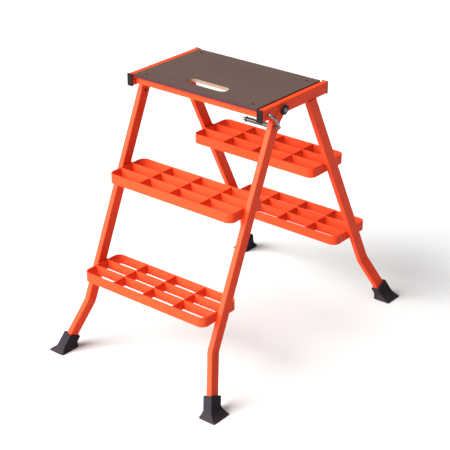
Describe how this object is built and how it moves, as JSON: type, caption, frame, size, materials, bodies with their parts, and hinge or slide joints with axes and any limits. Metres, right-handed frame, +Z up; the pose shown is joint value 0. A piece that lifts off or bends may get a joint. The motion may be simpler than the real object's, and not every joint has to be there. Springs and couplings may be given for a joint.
{
  "type": "folding step trestle",
  "caption": "Folding double-sided step trestle: board platform on splayed tube legs, open grid steps on both frames, rubber feet and a spring-loaded lock pin.",
  "frame": {"origin": "on the floor, in the middle of the footprint of the four feet", "axes": "+Z up; +X along the long side of the board and of the steps; -Y towards the frame that folds; +Y towards the fixed frame"},
  "size_m": [0.5894, 0.8782, 0.75],
  "materials": {
    "orange_paint": "smooth orange-red powder coat on steel tube and flat bar",
    "board_film": "dark brown film-faced plywood with a fine wire-mesh print, pale veneer at the slot",
    "black_plastic": "black moulded plastic",
    "black_rubber": "black moulded rubber, slightly dusty",
    "black_steel": "black-oxide steel",
    "zinc_steel": "zinc-plated steel",
    "bright_rod": "bright drawn steel rod"
  },
  "bodies": {
    "platform": {"top_board": "board_film", "end_rail_left": "orange_paint", "end_cap_front_left": "black_plastic", "end_cap_rear_left": "black_plastic", "board_screw_front_left": "black_steel", "board_screw_rear_left": "black_steel", "rear_leg_left": "orange_paint", "rear_foot_left": "black_rubber", "pivot_bolt_left": "zinc_steel", "pivot_boss_left": "black_plastic", "pivot_nut_left": "zinc_steel", "end_rail_right": "orange_paint", "end_cap_front_right": "black_plastic", "end_cap_rear_right": "black_plastic", "board_screw_front_right": "black_steel", "board_screw_rear_right": "black_steel", "rear_leg_right": "orange_paint", "rear_foot_right": "black_rubber", "pivot_bolt_right": "zinc_steel", "pivot_boss_right": "black_plastic", "pivot_nut_right": "zinc_steel", "cross_rail_front": "orange_paint", "cross_rail_rear": "orange_paint", "rear_lower_step_rim": "orange_paint", "rear_lower_step_bar_a": "orange_paint", "rear_lower_step_bar_b": "orange_paint", "rear_lower_step_cross_left": "orange_paint", "rear_lower_step_cross_middle": "orange_paint", "rear_lower_step_cross_right": "orange_paint", "rear_upper_step_rim": "orange_paint", "rear_upper_step_bar_a": "orange_paint", "rear_upper_step_bar_b": "orange_paint", "rear_upper_step_cross_left": "orange_paint", "rear_upper_step_cross_middle": "orange_paint", "rear_upper_step_cross_right": "orange_paint"},
    "front_frame": {"front_leg_left": "orange_paint", "front_foot_left": "black_rubber", "front_leg_right": "orange_paint", "front_foot_right": "black_rubber", "front_lower_step_rim": "orange_paint", "front_lower_step_bar_a": "orange_paint", "front_lower_step_bar_b": "orange_paint", "front_lower_step_cross_left": "orange_paint", "front_lower_step_cross_middle": "orange_paint", "front_lower_step_cross_right": "orange_paint", "front_upper_step_rim": "orange_paint", "front_upper_step_bar_a": "orange_paint", "front_upper_step_bar_b": "orange_paint", "front_upper_step_cross_left": "orange_paint", "front_upper_step_cross_middle": "orange_paint", "front_upper_step_cross_right": "orange_paint", "lock_spring": "zinc_steel"},
    "lock_pin": {"lock_pin": "bright_rod", "lock_washer": "black_steel", "lock_clip": "black_steel"}
  },
  "joints": [
    {"name": "front_frame_fold", "type": "hinge", "parent": "platform", "child": "front_frame", "pos_m": [0, -0.07931, 0.729], "axis": [1, 0, 0], "range_deg": [0, 49]},
    {"name": "lock_pin_pull", "type": "slide", "parent": "front_frame", "child": "lock_pin", "axis": [1, 0, 0], "range_m": [0, 0.036], "deforming": ["lock_spring"]}
  ],
  "couplings": [
    {"joint": "lock_pin_pull", "follows": "front_frame_fold", "m_per_rad": 0.042}
  ]
}
